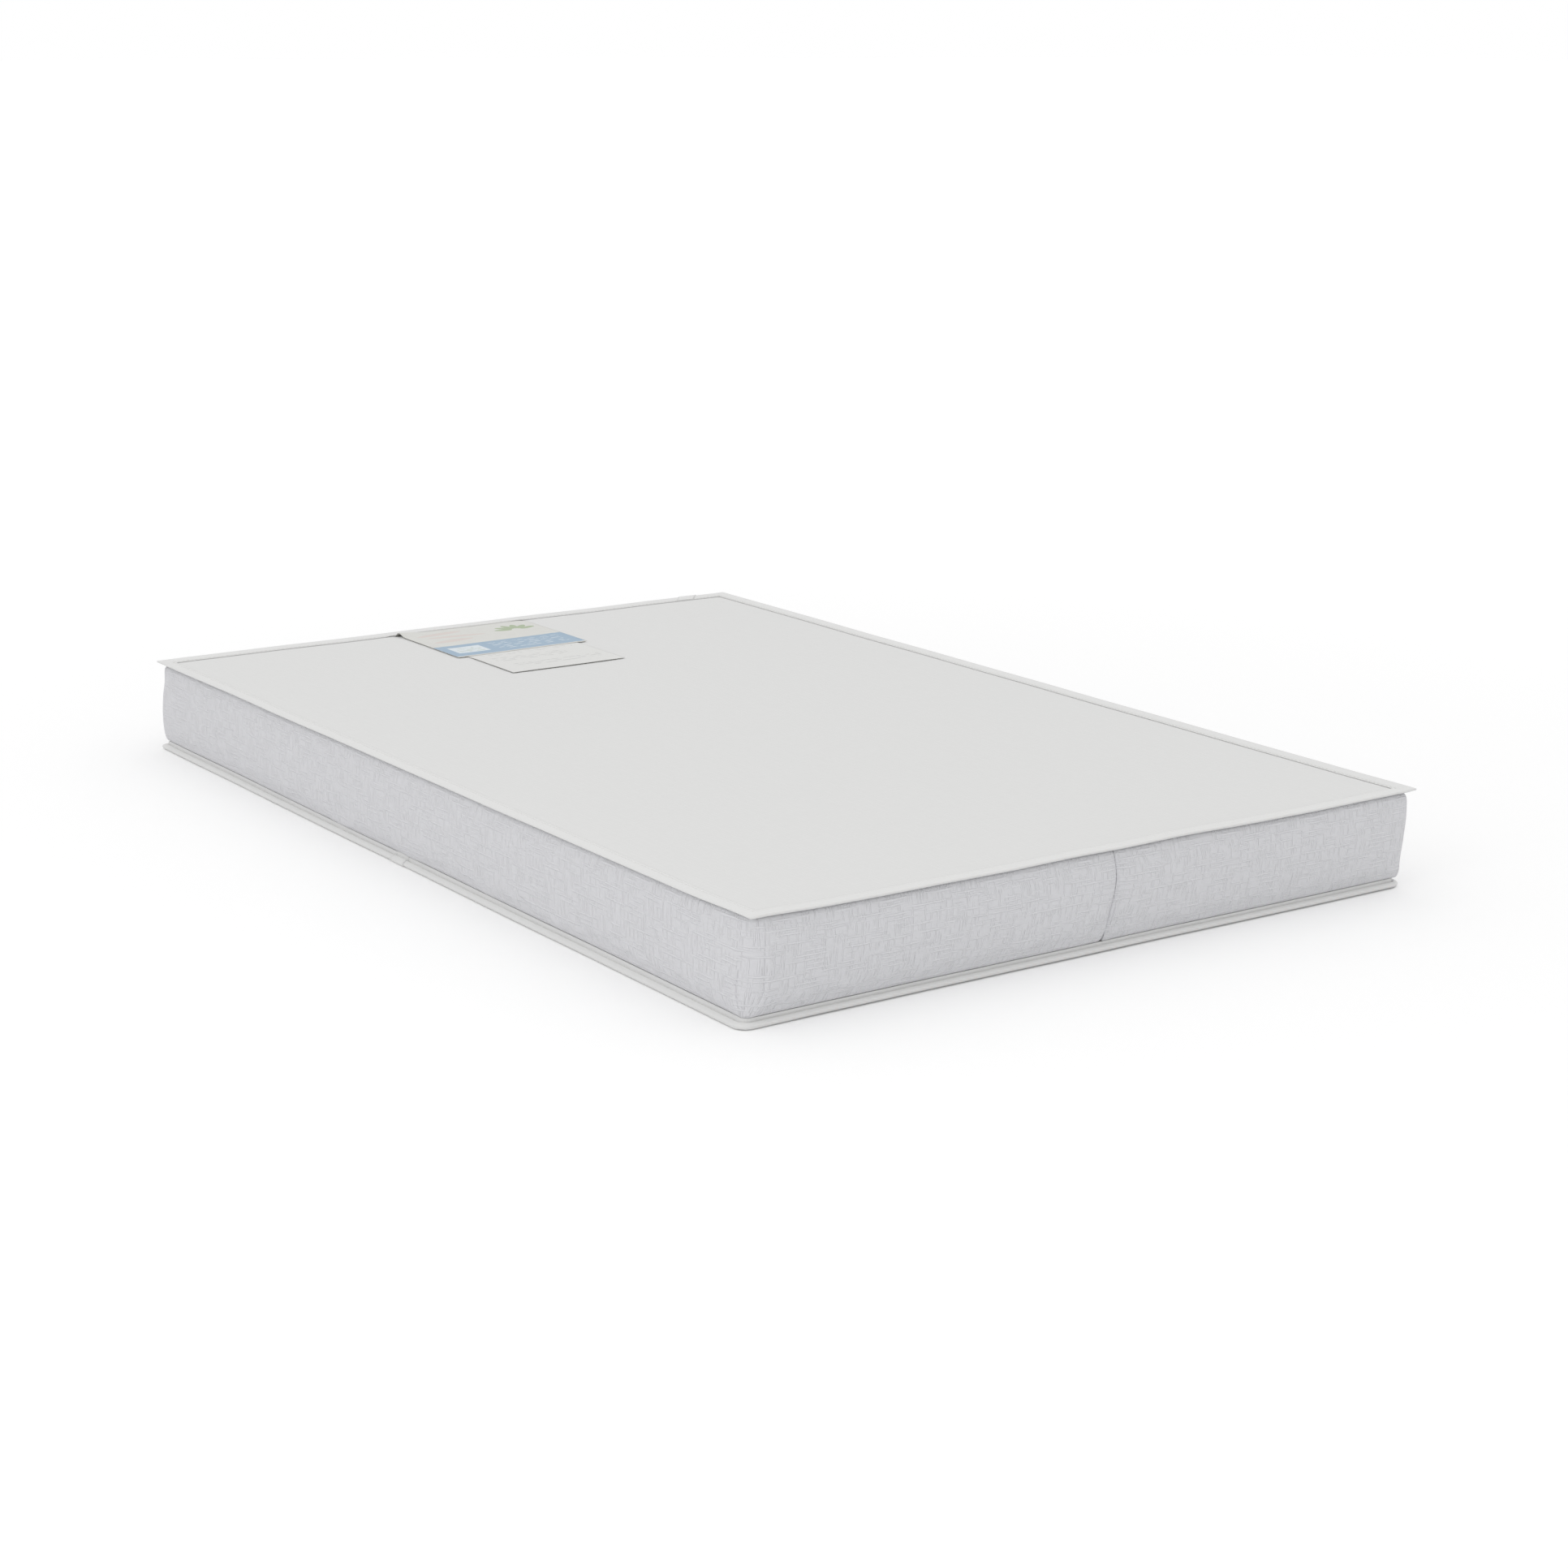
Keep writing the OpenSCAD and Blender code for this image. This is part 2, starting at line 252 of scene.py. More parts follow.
def binding_spot(plan, upper, side, t, s, h):
    """A point of a binding on one of the four sides, t from -1 to 1 between its mitres."""
    u, z = binding_point(plan, upper, s, h)
    reach, run = half_run(side + 1), half_run(side)
    x, y = reach + u, t * (run + u)
    for _ in range(side):
        x, y = -y, x
    x, y = round_corner(x, y, corner_inner(upper, x))
    return settle((x, y, z), plan)


def resample(points, count, crowd=0.0):
    """The given outline as count + 1 points along it, at equal distances unless they crowd
    towards its ends."""
    lengths = [0.0]
    for a, b in zip(points, points[1:]):
        lengths.append(lengths[-1] + math.dist(a, b))
    out, k = [], 0
    for i in range(count + 1):
        want = lengths[-1] * (i / count - crowd * math.sin(2 * math.pi * i / count))
        while k < len(points) - 2 and lengths[k + 1] < want:
            k += 1
        share = (want - lengths[k]) / (lengths[k + 1] - lengths[k])
        out.append(tuple(p + (q - p) * share for p, q in zip(points[k], points[k + 1])))
    return out


def border_groove(plan, upper):
    """How deep the stitches pull into the border's side of a tape."""
    return plan.groove * (1.8 if upper else 3.0)


def tape_section(plan, upper, raised=0.0):
    """Outer outline of a folded tape as (s, h), from the panel's side round to the border's. Its
    stitches pull a groove in each side, and it thins towards the fold on the border's side."""
    nose_r = (plan.nose_top if upper else plan.nose_low) + raised
    nose_s = NOSE + raised - nose_r
    nose_h = plan.fold_r + raised - nose_r
    near_start = 0.2 * MM
    far_start = plan.leg_start if upper else plan.low_start
    near = [near_start + (nose_s - near_start) * i / FOLDED for i in range(FOLDED)]
    far = [nose_s - (nose_s - far_start) * (i + 1) / FOLDED for i in range(FOLDED)]
    turn = [math.radians(90 - 20 * k) for k in range(10)]
    low = plan.fold_r + raised
    panel_groove, border_groove_width, edge_width = 1.0 * MM, 0.8 * MM, 1.3 * MM
    edge = 0 if upper else 0.9 * MM     # the lower tape's edge stands up against the border
    section = [(s, low - plan.groove * bump(s - near_start - plan.stitch_in, panel_groove))
               for s in near]
    section += [(nose_s + nose_r * math.cos(a), nose_h + nose_r * math.sin(a)) for a in turn]
    for s in far:
        thinned = max(0.0, (s - THIN_FROM) / (nose_s - THIN_FROM)) * (low + nose_h - nose_r)
        from_edge = s - far_start
        groove = border_groove(plan, upper) * bump(from_edge - plan.stitch_in,
                                                   border_groove_width)
        section.append((s, thinned + groove - low - edge * bump(from_edge, edge_width)))
    return section


def lip_drop(plan, upper, side, t, s):
    """How far the stitches draw a tape's edge down towards the panel, less over the labels."""
    depth, held_up = plan.lip, 0.65 * MM
    if upper and side == 2:
        across = abs(-t * HALF_W - plan.label_y) - plan.label_w / 2
        depth -= held_up * (1 - ramp(across / (9 * MM)))
    return depth * (1 - ramp(s / (6 * MM)))


def wall(plan, inset):
    """The swelling of the border as (u, z) from the foot up, drawn in by inset: its tight shoulder
    follows the upper binding as it thins, and its rounder foot the slope of the lower one."""
    steps, foot_height, shoulder_height = 48, 26 * MM, 12 * MM
    shoulder, foot = 8.0, 5.0   # how square each half of the section is: 2 would be an ellipse
    low_z = binding_point(plan, False, plan.leg_start, -plan.fold_r)[1] + 0.2 * MM
    high_z = plan.upper_z - plan.fold_r - 0.25 * MM
    middle, half = (low_z + high_z) / 2, (high_z - low_z) / 2 - inset
    points = []
    for i in range(steps + 1):
        a = math.pi * (1 - i / steps)
        power = 2 / (shoulder if a < math.pi / 2 else foot)
        u = plan.seam_u + (plan.bulge - inset) * abs(math.sin(a)) ** power
        z = middle + half * math.copysign(abs(math.cos(a)) ** power, math.cos(a))
        over_tape = max(0.0, u - plan.seam_u - 0.9 * MM)
        over_tape *= 1 - ramp((z - low_z) / foot_height)
        under_fin = 0.45 * max(0.0, u - THIN_FROM) * ramp(1 - (high_z - z) / shoulder_height)
        points.append((u, z - over_tape * math.tan(plan.droop) + under_fin))
    return points


def border_section(plan, rows):
    """The border cloth's outline as (u, z), from its lower sewn edge up to its upper one."""
    layer, sewn = -plan.fold_r + plan.tape + 0.2 * MM, 8 * MM
    foot = [binding_point(plan, False, s, layer) for s in (sewn, plan.seam_u)]
    head = [binding_point(plan, True, s, layer) for s in (plan.seam_u, sewn)]
    return resample([*foot, *wall(plan, 0), *head], rows, crowd=0.07)


def wadding_section(plan, rows):
    """The wadding's outline as (u, z): round the inside of the border and back up the core."""
    outer = wall(plan, plan.cloth + 0.8 * MM)
    return resample([*outer, (LAID, outer[-1][1]), (LAID, outer[0][1]), outer[0]], rows)


def spaced(plan, i, count, half, edge):
    """Grid line i of count, even in the middle and closer together in the margin."""
    margin_lines = 18
    t = 2 * i / count - 1
    fine = 2 * margin_lines / count
    inner = half - plan.margin
    size = abs(t)
    if size < 1 - fine:
        return math.copysign(inner * size / (1 - fine), t)
    return math.copysign(inner + (plan.margin + edge) * (size - 1 + fine) / fine, t)


def panel_height(plan, upper, x, y):
    """Height of a panel's outer face: flat, with margins that curve to the seam."""
    out_x, out_y = abs(x) - HALF_L, abs(y) - HALF_W
    near_x = max(0.0, out_x / plan.margin + 1)
    near_y = max(0.0, out_y / plan.margin + 1)
    fall = min(1.0, (near_x ** 4 + near_y ** 4) ** 0.25) ** 2
    if upper:
        wave = 0.22 * MM * drift(x, y, 70 * MM, 21.5)
        return TOP - plan.top_drop * fall + wave * (1 - fall)
    seam_z = binding_point(plan, False, 0, plan.cloth_top)[1]
    return seam_z * fall - max(0.0, out_x, out_y) * math.tan(plan.droop)


def strip_runs(plan, side):
    """The corner radii of a border strip, right end first, and the lengths of its five runs:
    part of the right end, a corner, the long side, the other corner, part of the left end."""
    radii = (plan.near_r if side < 0 else plan.far_r, plan.far_r if side < 0 else 2 * plan.far_r)
    c, d = (plan.border_u - r for r in radii)
    ends = [abs(side * (HALF_W + k) - plan.seam_y) for k in (c, d)]
    arcs = [r * math.pi / 2 for r in radii]
    return radii, (ends[0], arcs[0], 2 * HALF_L + c + d, arcs[1], ends[1])


def border_spot(plan, side, s, u, z):
    """A point of the front (side -1) or back (side 1) border strip, s along it from the right
    end. Its cloth dips and puckers at the seams, and its ends are tucked in past them."""
    radii, runs = strip_runs(plan, side)
    near_seam = min(s, sum(runs) - s)
    dip, dip_width, pucker_height, pucker_length = 1.1 * MM, 1.2 * MM, 0.45 * MM, 4.2 * MM
    u -= dip * bump(max(near_seam, 0), dip_width)
    pucker = math.sin((0.8 * near_seam + side * z) / pucker_length) * bump(z - 22 * MM, 22 * MM)
    u += pucker_height * pucker * bump(near_seam - 9 * MM, 13 * MM)
    tuck = max(0.0, -near_seam)
    seam_y = plan.seam_y + side * (0.1 * MM + 0.8 * MM * bump(z - 9 * MM, 4 * MM))
    # A corner's arc is tighter at the foot, and its centre is never further out than the cloth
    tight = 0.55 + 0.45 * ramp((z - 8 * MM) / (20 * MM))
    c, d = (min(plan.border_u - r * tight, u - 0.3 * MM) for r in radii)
    run = 0
    while run < 4 and s > runs[run]:
        s -= runs[run]
        run += 1
    t = min(1.0, max(0.0, s / runs[run]))
    a = t * math.pi / 2
    if run == 0:
        shift = (seam_line(plan, z) - plan.seam_y) * (1 - ramp(t))
        x, y = HALF_L + u - tuck, seam_y + (side * (HALF_W + c) - seam_y) * t + shift
    elif run == 1:
        x = HALF_L + c + (u - c) * math.cos(a)
        y = side * (HALF_W + c + (u - c) * math.sin(a))
    elif run == 2:
        x, y = (HALF_L + c) * (1 - t) - (HALF_L + d) * t, side * (HALF_W + u)
    elif run == 3:
        x = -HALF_L - d - (u - d) * math.sin(a)
        y = side * (HALF_W + d + (u - d) * math.cos(a))
    else:
        x, y = -(HALF_L + u - tuck), side * (HALF_W + d) * (1 - t) + seam_y * t
    return x, y, z


def seam_line(plan, z):
    """Where the right end's upright seam runs at the height z: it slants and bows a little."""
    foot, height, slant, bow = 9 * MM, 66 * MM, 2.0 * MM, 3.0 * MM
    t = min(1.0, max(0.0, (z - foot) / height))
    return plan.seam_y - slant * (1 - t) + bow * math.sin(math.pi * t * t)


# ---- meshes

def spread_grid(name, stations, rows, place, merge=False, flip=False, fill=False, backing=0):
    """Mesh of a grid that place(i, j) lays out, returning each vertex's spot and its weave UV. A
    backing is a thickness below the grid whose underside shows no print."""
    bm = bmesh.new()
    bmesh.ops.create_grid(bm, x_segments=stations, y_segments=rows, size=0.5)
    weave = bm.loops.layers.uv.new("weave")
    spots = {}
    for v in bm.verts:
        i, j = round((v.co.x + 0.5) * stations), round((v.co.y + 0.5) * rows)
        spots[v] = place(i, j)
    for face in bm.faces:
        for loop in face.loops:
            loop[weave].uv = spots[loop.vert][1]
    for v, (spot, _) in spots.items():
        v.co = spot
    if merge:
        bmesh.ops.remove_doubles(bm, verts=bm.verts, dist=0.01 * MM)
    if fill:
        bmesh.ops.holes_fill(bm, edges=[e for e in bm.edges if e.is_boundary])
        bmesh.ops.recalc_face_normals(bm, faces=bm.faces)
    if flip:
        bmesh.ops.reverse_faces(bm, faces=bm.faces)
    if backing:
        front = set(bm.verts)
        bmesh.ops.solidify(bm, geom=bm.faces[:], thickness=backing)
        bmesh.ops.recalc_face_normals(bm, faces=bm.faces)
        for face in bm.faces:
            if not front.issuperset(face.verts):
                for loop in face.loops:
                    loop[weave].uv.x -= BACK_SHIFT
    return finished(name, bm)


def finished(name, bm):
    """A smooth-shaded object at the origin from a bmesh, which is freed."""
    mesh = bpy.data.meshes.new(name)
    bm.to_mesh(mesh)
    bm.free()
    mesh.shade_smooth()
    piece = bpy.data.objects.new(name, mesh)
    bpy.context.scene.collection.objects.link(piece)
    return piece


def thicken(piece, thickness):
    """Gives a sheet its thickness, on its inner side."""
    solid = piece.modifiers.new("Thickness", "SOLIDIFY")
    solid.thickness, solid.offset = thickness, -1.0
    return piece


def subdivide(piece):
    """Smooths a coarse sheet by one level of subdivision."""
    fine = piece.modifiers.new("Smoothness", "SUBSURF")
    fine.levels = fine.render_levels = 1
    return piece


def dress(piece, material, slot):
    """Gives a piece its material. The slot is not used."""
    piece.data.materials.clear()
    piece.data.materials.append(material)
    return piece


# ---- materials

def add_node(tree, kind, links=None, **settings):
    """Adds a shader node, sets its properties and input values, and links sockets into it."""
    node = tree.nodes.new("ShaderNode" + kind)
    for key, value in settings.items():
        if hasattr(node, key):
            setattr(node, key, value)
        else:
            node.inputs[key.replace("_", " ")].default_value = value
    for socket, source in (links or {}).items():
        tree.links.new(source, node.inputs[socket])
    return node


def map_range(tree, source, low, high, to_low=0.0, to_high=1.0, smooth=False):
    """A value that goes from to_low to to_high as the source goes from low to high."""
    node = add_node(tree, "MapRange", {"Value": source})
    if smooth:
        node.interpolation_type = "SMOOTHSTEP"
    ends = {"From Min": low, "From Max": high, "To Min": to_low, "To Max": to_high}
    for key, value in ends.items():
        node.inputs[key].default_value = value
    return node.outputs["Result"]


def maths(tree, operation, first, second):
    """Two values put together by a Math node; the second may be a number."""
    node = add_node(tree, "Math", {0: first}, operation=operation)
    if isinstance(second, bpy.types.NodeSocket):
        tree.links.new(second, node.inputs[1])
    else:
        node.inputs[1].default_value = second
    return node.outputs[0]


def emboss(tree, shader, height, strength, distance):
    """Raises a surface by its height of 0 to 1, over the given distance."""
    relief = add_node(tree, "Bump", {"Height": height}, Strength=strength, Distance=distance)
    tree.links.new(relief.outputs["Normal"], shader.inputs["Normal"])


def weave_uv(tree):
    """The cloth's own flat coordinates."""
    return add_node(tree, "UVMap", uv_map="weave").outputs["UV"]


def new_material(name, base, roughness, sheen=0.0, specular=0.3):
    """An opaque material with a Principled BSDF; returns it with its tree and its shader."""
    material = bpy.data.materials.new(name)
    material.use_nodes = True
    tree = material.node_tree
    shader = tree.nodes["Principled BSDF"]
    shader.inputs["Base Color"].default_value = base
    shader.inputs["Roughness"].default_value = roughness
    shader.inputs["Specular IOR Level"].default_value = specular
    shader.inputs["Sheen Weight"].default_value = sheen
    shader.inputs["Sheen Roughness"].default_value = 0.5
    return material, tree, shader


def threads(tree, cloth, pitch, length, axis, seed):
    """Slubby threads, pitch apart along the axis and broken at about the given length: how high
    they stand, from 0 to 1."""
    band = add_node(tree, "TexWave", {"Vector": cloth}, bands_direction=axis,
                    Scale=math.pi / (10 * pitch), Distortion=0.7, Detail=1.0,
                    Detail_Scale=0.8, Phase_Offset=seed)
    along, across = (1 / length, 1 / pitch) if axis == "Y" else (1 / pitch, 1 / length)
    mapped = add_node(tree, "Mapping", {"Vector": cloth},
                      Location=(seed, seed * 1.7, 0.0), Scale=(along, across, 1.0))
    slub = add_node(tree, "TexNoise", {"Vector": mapped.outputs["Vector"]},
                    Scale=1.0, Detail=1.0)
    shown = map_range(tree, slub.outputs["Fac"], 0.42, 0.62, smooth=True)
    crest = map_range(tree, band.outputs["Fac"], 0.3, 1.0, smooth=True)
    return maths(tree, "MULTIPLY", crest, shown)


def ticking(name, base, crest_colour, relief):
    """Woven polyester ticking with a linen look: slub threads both ways give a fine raised
    cross-hatch on a matt, faintly sheened white cloth."""
    material, tree, shader = new_material(name, base, 0.82, sheen=0.12, specular=0.25)
    cloth = weave_uv(tree)
    weft = threads(tree, cloth, 3.5 * MM, 24 * MM, "Y", 3.1)
    warp = threads(tree, cloth, 2.6 * MM, 13 * MM, "X", 8.4)
    crests = maths(tree, "MAXIMUM", weft, warp)
    fine = add_node(tree, "TexNoise", {"Vector": cloth}, Scale=1 / (1.1 * MM),
                    Detail=2.0)
    height = add_node(tree, "Math", {0: fine.outputs["Fac"], 2: crests},
                      operation="MULTIPLY_ADD")
    height.inputs[1].default_value = 0.35
    tint = add_node(tree, "Mix", {"Factor": crests}, data_type="RGBA")
    tint.inputs["A"].default_value = base
    tint.inputs["B"].default_value = crest_colour
    tree.links.new(tint.outputs["Result"], shader.inputs["Base Color"])
    emboss(tree, shader, height.outputs[0], relief, 0.5 * MM)
    return material


def twill(name, base):
    """Woven polyester tape: fine slanting ribs in a smooth cloth with a slight silky sheen."""
    material, tree, shader = new_material(name, base, 0.62, sheen=0.15, specular=0.35)
    pitch = 0.9 * MM
    ribs = add_node(tree, "TexWave", {"Vector": weave_uv(tree)},
                    bands_direction="DIAGONAL", Scale=math.pi / (10 * pitch),
                    Distortion=0.6, Detail=1.0)
    emboss(tree, shader, ribs.outputs["Fac"], 0.35, 0.12 * MM)
    return material


def patch(tree, uv, middle, half, turn=0.0, square=False):
    """1 inside an ellipse or a rectangle of the given half sizes, 0 outside it."""
    local = add_node(tree, "Mapping", {"Vector": uv}, vector_type="TEXTURE",
                     Location=(*(m * MM for m in middle), 0.0),
                     Rotation=(0.0, 0.0, math.radians(turn)),
                     Scale=(*(h * MM for h in half), 1.0))
    if square:
        split = add_node(tree, "SeparateXYZ", {"Vector": local.outputs["Vector"]})
        sizes = [add_node(tree, "Math", {0: split.outputs[k]}, operation="ABSOLUTE")
                 for k in "XY"]
        reach = maths(tree, "MAXIMUM", sizes[0].outputs[0], sizes[1].outputs[0])
    else:
        reach = add_node(tree, "VectorMath", {0: local.outputs["Vector"]},
                         operation="LENGTH").outputs["Value"]
    return map_range(tree, reach, 0.97, 1.03, 1.0, 0.0)


def printed_over(tree, under, ink, mask, strength=1.0):
    """The colour under an ink that covers it where the mask is 1."""
    cover = maths(tree, "MULTIPLY", mask, strength)
    mix = add_node(tree, "Mix", {"Factor": cover}, data_type="RGBA")
    mix.inputs["B"].default_value = ink
    if isinstance(under, bpy.types.NodeSocket):
        tree.links.new(under, mix.inputs["A"])
    else:
        mix.inputs["A"].default_value = under
    return mix.outputs["Result"]


def bars(tree, uv, pitch, seed):
    """Broken bars across a label, as rows of small print look from afar."""
    rows = add_node(tree, "TexWave", {"Vector": uv}, bands_direction="X",
                    Scale=math.pi / (10 * pitch), Phase_Offset=seed)
    mapped = add_node(tree, "Mapping", {"Vector": uv}, Location=(seed, 0.0, 0.0),
                      Scale=(1 / pitch, 1 / (7 * MM), 1.0))
    breaks = add_node(tree, "TexNoise", {"Vector": mapped.outputs["Vector"]}, Scale=1.0)
    soft = 0.06
    row = map_range(tree, rows.outputs["Fac"], 0.62, 0.62 + soft)
    unbroken = map_range(tree, breaks.outputs["Fac"], 0.47, 0.47 + soft)
    return maths(tree, "MULTIPLY", row, unbroken)


def print_block(tree, uv, middle, half, pitch, seed):
    """1 on the bars that fill a rectangle of a label, 0 elsewhere."""
    return maths(tree, "MULTIPLY", patch(tree, uv, middle, half, square=True),
                 bars(tree, uv, pitch * MM, seed))


def law_paper(name, base):
    """Spun nonwoven polyester, as used for law tags: smooth, a little fibrous, with pale grey
    bars in place of its small print."""
    material, tree, shader = new_material(name, base, 0.75)
    uv = weave_uv(tree)
    tone = base
    for middle, half, pitch in (((146, 0), (4, 50), 4), ((168, -8), (9, 40), 4.5),
                                ((196, 6), (8, 46), 5)):
        area = print_block(tree, uv, middle, half, pitch, middle[0])
        tone = printed_over(tree, tone, srgb("9C9A9C"), area, 0.3)
    tree.links.new(tone, shader.inputs["Base Color"])
    return material


def label_paper(name, colours):
    """Coated woven-look label cloth with a generic nursery print: a leaf sprig and soft waves on
    cream over a blue band, with pale bars and a pale panel."""
    material, tree, shader = new_material(name, colours.print_ground, 0.6, specular=0.35)
    uv = weave_uv(tree)
    cloudy = add_node(tree, "TexNoise", {"Vector": uv}, Scale=1 / (9 * MM), Detail=3.0)
    tone = printed_over(tree, colours.print_ground, srgb("D0CFCA"), cloudy.outputs["Fac"], 0.5)
    for middle, half, turn in (((20, -34), (5, 26), 8), ((37, -24), (4, 30), -6),
                               ((54, -36), (5, 22), 5)):
        tone = printed_over(tree, tone, colours.print_blush,
                            patch(tree, uv, middle, half, turn), 0.5)
    for k in range(6):
        a = math.radians(-75 + 30 * k)
        middle = (40 - 14 * math.cos(a), 42 + 14 * math.sin(a))
        tone = printed_over(tree, tone, colours.print_leaf,
                            patch(tree, uv, middle, (9, 3.6), -math.degrees(a)), 0.85)
    band = patch(tree, uv, (99, 0), (24, 80), square=True)
    tone = printed_over(tree, tone, colours.print_band, band)
    pale = srgb("E9EEF0")
    words = print_block(tree, uv, (98, 22), (15, 38), 5.5, 2.0)
    tone = printed_over(tree, tone, pale, words, 0.55)
    tone = printed_over(tree, tone, pale, patch(tree, uv, (98, -44), (13, 17), square=True), 0.8)
    inner = print_block(tree, uv, (98, -44), (10, 13), 4, 5.0)
    tone = printed_over(tree, tone, colours.print_leaf, inner, 0.6)
    tree.links.new(tone, shader.inputs["Base Color"])
    return material


def fibre(name, base):
    """Bonded polyester wadding: a lofty mat of crimped white fibres."""
    material, tree, shader = new_material(name, base, 0.95, sheen=0.3, specular=0.1)
    place = add_node(tree, "TexCoord").outputs["Object"]
    strands = add_node(tree, "TexNoise", {"Vector": place}, Scale=1 / (3 * MM),
                       Detail=6.0, Distortion=2.5)
    emboss(tree, shader, strands.outputs["Fac"], 0.6, 0.8 * MM)
    return material


def foam(name, base, cell):
    """Flexible polyurethane foam, cut with a blade: open cells leave fine pits in a matt face, and
    painted shade darkens each pit.
    """
    material, tree, shader = new_material(name, base, 0.95, specular=0.15)
    place = add_node(tree, "TexCoord").outputs["Object"]
    cells = add_node(tree, "TexVoronoi", {"Vector": place}, Scale=1 / cell)
    # Painted shade: the colour grows darker towards the bottom of each cell's pit
    shade = map_range(tree, cells.outputs["Distance"], 0.0, 1.0, to_low=0.85)
    tone = add_node(tree, "HueSaturation", {"Value": shade}, Color=base)
    tree.links.new(tone.outputs["Color"], shader.inputs["Base Color"])
    emboss(tree, shader, cells.outputs["Distance"], 0.5, 0.5 * MM)
    return material


# ---- operators

class MATTRESS_OT_stage(bpy.types.Operator):
    """Sets up the pale floor, the soft light and the camera"""
    bl_idname = "mattress.stage"
    bl_label = "Stage"

    def execute(self, context):
        colours = context.scene.mattress_colours
        self.floor(colours)
        self.world(context.scene)
        self.lamp()
        self.camera(context.scene)
        context.scene.view_settings.view_transform = "Standard"
        return {"FINISHED"}

    def floor(self, colours):
        bm = bmesh.new()
        bmesh.ops.create_grid(bm, x_segments=1, y_segments=1, size=40)
        bmesh.ops.translate(bm, verts=bm.verts, vec=(0, 0, -0.2 * MM))
        floor = finished("floor", bm)
        material, tree, shader = new_material("Matt painted floor", colours.floor, 0.9)
        # The floor looks white to the camera where nothing shades it, and keeps the shadow
        glow = self.seen(tree)
        place = add_node(tree, "TexCoord")
        away = add_node(tree, "VectorMath", {0: place.outputs["Object"]},
                        operation="LENGTH")
        # The glow is weaker near the mattress and stronger far off: painted shade that widens the
        # soft shadow round it
        painted_shade_glow = map_range(tree, away.outputs["Value"], 0.3, 2.2, 0.085, 0.16, smooth=True)
        shader.inputs["Emission Color"].default_value = (1, 1, 1, 1)
        tree.links.new(maths(tree, "MULTIPLY", glow, painted_shade_glow), shader.inputs["Emission Strength"])
        floor.data.materials.append(material)
        floor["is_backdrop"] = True

    def seen(self, tree):
        """1 for rays that come from the camera, straight or by a mirror, and 0 for others."""
        path = add_node(tree, "LightPath")
        return maths(tree, "MAXIMUM", path.outputs["Is Camera Ray"],
                     path.outputs["Is Glossy Ray"])

    def world(self, scene):
        world = bpy.data.worlds.new("Soft studio")
        world.use_nodes = True
        tree = world.node_tree
        background = tree.nodes["Background"]
        sky = add_node(tree, "TexCoord")
        split = add_node(tree, "SeparateXYZ", {"Vector": sky.outputs["Generated"]})
        level = map_range(tree, split.outputs["Z"], 0.0, 1.0, 0.55, 1.10)
        strength = add_node(tree, "Mix", {"Factor": self.seen(tree), "A": level},
                            data_type="FLOAT")
        strength.inputs["B"].default_value = 1.0
        background.inputs["Color"].default_value = (1, 1, 1, 1)
        tree.links.new(strength.outputs["Result"], background.inputs["Strength"])
        scene.world = world

    def lamp(self):
        data = bpy.data.lights.new("Soft box", "AREA")
        data.shape, data.size, data.energy = "DISK", 1.6, 6
        lamp = bpy.data.objects.new("Soft box", data)
        lamp.location = (1.1, -2.4, 1.5)
        lamp.rotation_euler = (-lamp.location).to_track_quat("-Z", "Y").to_euler()
        bpy.context.scene.collection.objects.link(lamp)

    def camera(self, scene):
        data = bpy.data.cameras.new("View")
        data.sensor_width, data.lens = 36.0, 68.4
        camera = bpy.data.objects.new("View", data)
        azimuth, elevation, roll = (math.radians(a) for a in (55.18, 14.45, 0.36))
        aim, distance = Vector((0.0688, 0.0058, 0.0401)), 2.5361
        back = Vector((math.sin(azimuth) * math.cos(elevation),
                       -math.cos(azimuth) * math.cos(elevation), math.sin(elevation)))
        turn = (-back).to_track_quat("-Z", "Y").to_matrix().to_4x4()
        camera.matrix_world = (Matrix.Translation(aim + back * distance) @ turn
                               @ Matrix.Rotation(roll, 4, "Z"))
        scene.collection.objects.link(camera)
        scene.camera = camera


